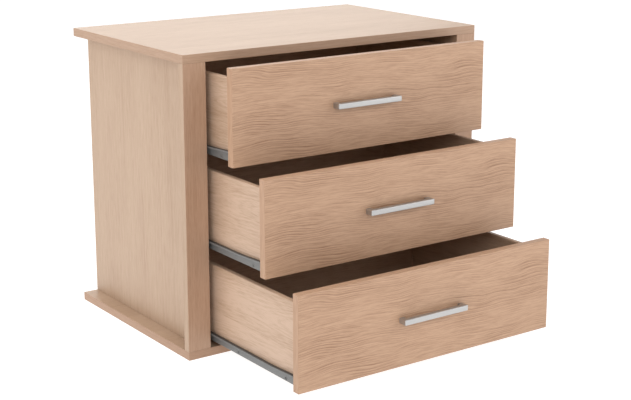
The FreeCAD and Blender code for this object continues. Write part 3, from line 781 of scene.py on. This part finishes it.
class MakeRails(Operator):
    """Makes the folded rails on the carcass sides"""

    bl_idname = "insert.make_rails"
    bl_label = "Rails"

    def execute(self, context):
        sizes = settings("runners")
        for row in ROWS:
            for name, side in SIDES:
                node = f"{row}_{name}_rail"
                surfaces = [rail_surface(node, side, sizes)] + rail_stops(node, side, sizes)
                piece(
                    f"{row}_{name}_rail_channel", surfaces,
                    shared_material(powder_coat), "carcass", [node],
                )
        return {"FINISHED"}


def slider_surface(node, side, sizes):
    """A slider: the outline of a folded angle with a foot, web, flange and lip, carried along Y. The flange
    rises in a straight ramp over the front and ends before the roller, where the web alone goes on. The
    outline's upper points are lifted by the ramp, so they are a function of the place along the slider."""
    low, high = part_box(node)
    sheet, bend = sizes.sheet, sizes.bend
    web = sizes.gap - sheet
    ramp_end, flange_end = low.y + sizes.ramp_length, high.y - sizes.flange_inset
    y = np.array([low.y, ramp_end, flange_end, flange_end, high.y])
    flanged = np.array([1, 1, 1, 0, 0])
    top = sizes.height + sizes.ramp_rise * np.array([1, 0, 0, 0, 0])
    edge = np.where(flanged, sizes.gap - sizes.reach, web)
    inside = np.where(flanged, edge + sheet, web)
    drop = np.where(flanged, sizes.lip_drop, sheet)
    outer_bend, inner_bend = np.where(flanged, bend, 0), np.where(flanged, bend - sheet, 0)
    top_bend = inner_bend + sheet
    wall = reach_of(node) + sizes.gap - sizes.reach
    foot_end = wall - min(abs(low.x), abs(high.x))
    small = bend - sheet
    section = outline([
        point(foot_end, 0),
        arc(web + bend, bend, bend, 270, 180),
        arc(web - inner_bend, top - sheet - inner_bend, inner_bend, 0, 90),
        arc(inside + inner_bend, top - sheet - inner_bend, inner_bend, 90, 180),
        point(inside, top - drop),
        point(edge, top - drop),
        arc(edge + outer_bend, top - outer_bend, outer_bend, 180, 90),
        arc(sizes.gap - top_bend, top - top_bend, top_bend, 90, 0),
        arc(sizes.gap + small, sheet + small, small, 180, 270),
        point(foot_end, sheet),
    ], len(y))
    return carried(section, side, wall, y, low.z)


class MakeSliders(Operator):
    """Makes the folded sliders under the drawer sides"""

    bl_idname = "insert.make_sliders"
    bl_label = "Sliders"

    def execute(self, context):
        for row in ROWS:
            for name, side in SIDES:
                node = f"{row}_drawer_{name}_slider"
                piece(
                    f"{row}_{name}_slider_angle", [slider_surface(node, side, settings("runners"))],
                    shared_material(powder_coat), f"{row}_drawer", [node],
                )
        return {"FINISHED"}


def roller_surfaces(node, sizes):
    """Both rollers of an axis. Each is an outline turned about X: bore, hub, dished face, rounded rim and
    tread. Six ribs fill the dish, so its depth is a function of the angle too: a rib is full where the sine
    of three times the angle is under 0.07, and gone where it is over 0.23."""
    low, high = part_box(node)
    xs = np.array([vertex.co.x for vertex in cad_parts[node].data.vertices])
    inner, outer = xs[xs > 0].min(), xs[xs > 0].max()
    radius, half = (high.z - low.z) / 2, (outer - inner) / 2
    edge = sizes.roller_edge
    bore, hub, rim = sizes.axle + edge / 10, sizes.axle * 2, radius - sizes.axle
    # Radius of each point of a face, and how much of the dish's depth it has
    face = np.array([(bore, 0), (hub, 0), (hub + edge / 2, 1), (rim - edge / 2, 1), (rim, 0)])
    corner = arc(radius - edge, half - edge, edge, 90, 0, steps=3)
    level, flat = np.full(len(face), half), np.zeros(2 * len(corner))
    radii = np.concatenate([face[:, 0], corner[:, 0], corner[::-1, 0], face[::-1, 0]])
    along = np.concatenate([level, corner[:, 1], -corner[::-1, 1], -level])
    dished = np.concatenate([face[:, 1], flat, -face[::-1, 1]])
    steps = 72
    angle = np.linspace(0, 2 * np.pi, steps, endpoint=False)
    rib = np.clip(1.4 - 6 * np.abs(np.sin(3 * angle)), 0, 1)
    lift = -dished[:, None] * sizes.roller_dish * (1 - rib)
    return [
        turned(
            along, radii, (side * (inner + outer) / 2, (low.y + high.y) / 2, (low.z + high.z) / 2),
            side, steps, lift, closed=True,
        )
        for _, side in SIDES
    ]


class MakeRollers(Operator):
    """Makes the ribbed nylon rollers"""

    bl_idname = "insert.make_rollers"
    bl_label = "Rollers"

    def execute(self, context):
        for row in ROWS:
            for body in (f"{row}_rail_rollers", f"{row}_drawer_rollers"):
                piece(
                    body.replace("rollers", "ribbed_rollers"), roller_surfaces(body, settings("runners")),
                    shared_material(nylon), body, [body],
                )
        return {"FINISHED"}


def screw_surface(place, side, head, shank, whole):
    """A countersunk screw turned about X, with its head's middle at a place and its tip towards side. The
    flat of the head is a grid of rings and angles, pressed in where the cross recess is. The rings and the
    recess are shares of the head's radius."""
    steps = 32
    rings = head * np.array([0.0, 0.14, 0.28, 0.42, 0.56, 0.62, 0.9])
    radii = np.concatenate([rings, [head, head * 0.97, shank, shank, shank * 0.4, 0.0]])
    tip = [whole - shank * 1.5, whole - shank * 0.4, whole]
    depths = [0] * len(rings) + [head * 0.04, head * 0.1, head - shank] + tip
    pressed = np.zeros((len(radii), steps))
    pressed[:len(rings)] = cross_recess(rings, steps, head * 0.58, head * 0.16, head * 0.4)
    return turned(depths, radii, place, side, steps, pressed)


def screw_row(node, front_inset, rear_inset):
    """The Y of three screws along a runner: one near each end and one halfway between."""
    low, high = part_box(node)
    first, last = low.y + front_inset, high.y - rear_inset
    return first, (first + last) / 2, last


class MakeRunnerScrews(Operator):
    """Makes the cross-recessed screws that hold the rails and sliders"""

    bl_idname = "insert.make_runner_screws"
    bl_label = "Runner screws"

    def execute(self, context):
        sizes, runners = settings("fastenings"), settings("runners")
        material = shared_material(zinc_plate)
        rail_screws = []
        for row in ROWS:
            slider_screws = []
            for name, side in SIDES:
                rail = f"{row}_{name}_rail"
                low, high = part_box(rail)
                wall = reach_of(rail)
                for y in screw_row(rail, sizes.front_inset, sizes.rail_rear_inset):
                    place = (side * (wall - runners.sheet), y, (low.z + high.z) / 2)
                    rail_screws.append(screw_surface(place, side, sizes.head, sizes.shank, sizes.rail_length))
                slider = f"{row}_drawer_{name}_slider"
                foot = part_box(slider)[0].z
                for y in screw_row(slider, sizes.front_inset, sizes.slider_rear_inset):
                    place = (side * (wall - runners.gap + runners.sheet), y, foot + sizes.slider_rise)
                    slider_screws.append(
                        screw_surface(place, -side, sizes.head, sizes.shank, sizes.slider_length)
                    )
            piece(
                f"{row}_cross_head_slider_screws", slider_screws, material, f"{row}_drawer",
                [f"{row}_drawer_slider_screws"],
            )
        piece("cross_head_rail_screws", rail_screws, material, "carcass", ["rail_screws"])
        return {"FINISHED"}


class FinishFittings(Operator):
    """Gives the remaining metal fittings and the dowels their finish"""

    bl_idname = "insert.finish_fittings"
    bl_label = "Fittings and dowels"

    def execute(self, context):
        metal = shared_material(zinc_plate)
        wood = shared_material(beech)
        for node in ("cam_fittings", "base_screws", "rail_axles"):
            give(node, metal)
        give("carcass_dowels", wood)
        for row in ROWS:
            give(f"{row}_drawer_axles", metal)
            give(f"{row}_drawer_handle_screws", metal)
            give(f"{row}_drawer_dowels", wood)
        return {"FINISHED"}


# Stage


# Where each softbox stands and how wide it is, in metres, and what they all light
SOFTBOXES = {
    "left": ((-3.2, 1.1, 2.3), 2.4),
    "right": ((2.6, -2.6, 1.6), 2.2),
    "front": ((-1.6, -3.6, 2.6), 1.8),
    "top": ((-0.4, 0.4, 3.4), 2.6),
    "back": ((1.9, 3.3, 2.0), 2.4),
}
LIGHT_AIM = (0, -0.1, 0.35)
WHITE = rgba(linear("#FFFFFF"))


def stage_floor():
    """A floor 60 m wide in the plane that the chest stands on, matt and near white. It glows, as a studio
    cove does that is lit from all sides, and its clouds are about 700 mm wide."""
    reach = np.linspace(-30, 30, 5)
    grid = np.stack(np.meshgrid(reach, reach, [0.0], indexing="ij"), -1)[:, :, 0]
    points, faces = surface(grid)
    mesh = bpy.data.meshes.new("studio_floor")
    mesh.from_pydata(points, [], faces)
    made = bpy.data.objects.new("studio_floor", mesh)
    bpy.context.scene.collection.objects.link(made)
    material, tree, coordinates = new_material("matt_white_paint")
    cloud = {"Vector": coordinates["Object"], "Scale": 1.5, "Detail": 2.0}
    cloud = add(tree, "ShaderNodeTexNoise", cloud).outputs["Fac"]
    base = {0: cloud, 6: rgba(linear("#A2A2A2")), 7: rgba(linear("#9E9E9E"))}
    base = add(tree, "ShaderNodeMix", base, data_type="RGBA").outputs[2]
    finish(tree, base, Roughness=0.9, Specular_IOR_Level=0.1, Emission_Color=WHITE, Emission_Strength=0.93)
    mesh.materials.append(material)


def soft_light(name, place, size, watts):
    """A large square area light at a place, turned towards the chest."""
    data = bpy.data.lights.new(name, "AREA")
    data.shape = "SQUARE"
    data.size = size
    data.energy = watts
    made = bpy.data.objects.new(name, data)
    bpy.context.scene.collection.objects.link(made)
    made.location = place
    direction = np.array(LIGHT_AIM) - np.array(place)
    made.rotation_euler = (
        math.acos(-direction[2] / np.linalg.norm(direction)),
        0,
        math.atan2(direction[1], direction[0]) - math.pi / 2,
    )


def studio_world(stage):
    """The room round the stage: pale walls that fade into a dim ceiling between 17 and 40 degrees above the
    horizon, which are heights of 0.30 and 0.65 on a direction's unit length."""
    world = bpy.data.worlds.new("studio")
    world.use_nodes = True
    tree = world.node_tree
    tree.nodes.clear()
    direction = add(tree, "ShaderNodeTexCoord").outputs["Generated"]
    height = add(tree, "ShaderNodeSeparateXYZ", {0: direction}).outputs[2]
    strength = {0: height, 1: 0.30, 2: 0.65, 3: stage.walls, 4: stage.ceiling}
    strength = add(tree, "ShaderNodeMapRange", strength).outputs[0]
    light = add(tree, "ShaderNodeBackground", {"Color": WHITE, "Strength": strength})
    add(tree, "ShaderNodeOutputWorld", {"Surface": light.outputs[0]})
    return world


class MakeStage(Operator):
    """Makes the floor, the soft light and the camera"""

    bl_idname = "insert.make_stage"
    bl_label = "Stage"

    def execute(self, context):
        stage = settings("stage")
        stage_floor()
        for name, (place, size) in SOFTBOXES.items():
            soft_light(f"{name}_softbox", place, size, getattr(stage, name))
        context.scene.world = studio_world(stage)
        context.scene.view_settings.view_transform = "Standard"

        data = bpy.data.cameras.new("camera")
        data.lens = stage.lens
        data.sensor_width = 36
        data.shift_y = stage.rise
        camera = bpy.data.objects.new("camera", data)
        camera.location = stage.place
        camera.rotation_euler = (math.radians(90) - stage.pitch, stage.roll, -stage.yaw)
        context.scene.collection.objects.link(camera)
        context.scene.camera = camera
        return {"FINISHED"}


OPERATORS = (
    FinishCarcass,
    FinishHardboard,
    FinishFronts,
    FinishBoxes,
    MakeHandles,
    MakeRails,
    MakeSliders,
    MakeRollers,
    MakeRunnerScrews,
    FinishFittings,
    MakeStage,
)


class InsertPanel(Panel):
    """Lists the pieces of the drawer insert"""

    bl_idname = "VIEW3D_PT_drawer_insert"
    bl_label = "Drawer Insert"
    bl_space_type = "VIEW_3D"
    bl_region_type = "UI"
    bl_category = "Drawer Insert"

    def draw(self, context):
        for operator in OPERATORS:
            self.layout.operator(operator.bl_idname)


def register():
    for group in SETTINGS.values():
        bpy.utils.register_class(group)
    for operator in OPERATORS:
        bpy.utils.register_class(operator)
    bpy.utils.register_class(InsertPanel)
    for name, group in SETTINGS.items():
        setattr(bpy.types.Scene, name, PointerProperty(type=group))


def unregister():
    for name in SETTINGS:
        delattr(bpy.types.Scene, name)
    bpy.utils.unregister_class(InsertPanel)
    for operator in reversed(OPERATORS):
        bpy.utils.unregister_class(operator)
    for group in reversed(SETTINGS.values()):
        bpy.utils.unregister_class(group)


def main():
    register()
    for operator in OPERATORS:
        category, name = operator.bl_idname.split(".")
        getattr(getattr(bpy.ops, category), name)()


if __name__ == "__main__":
    main()
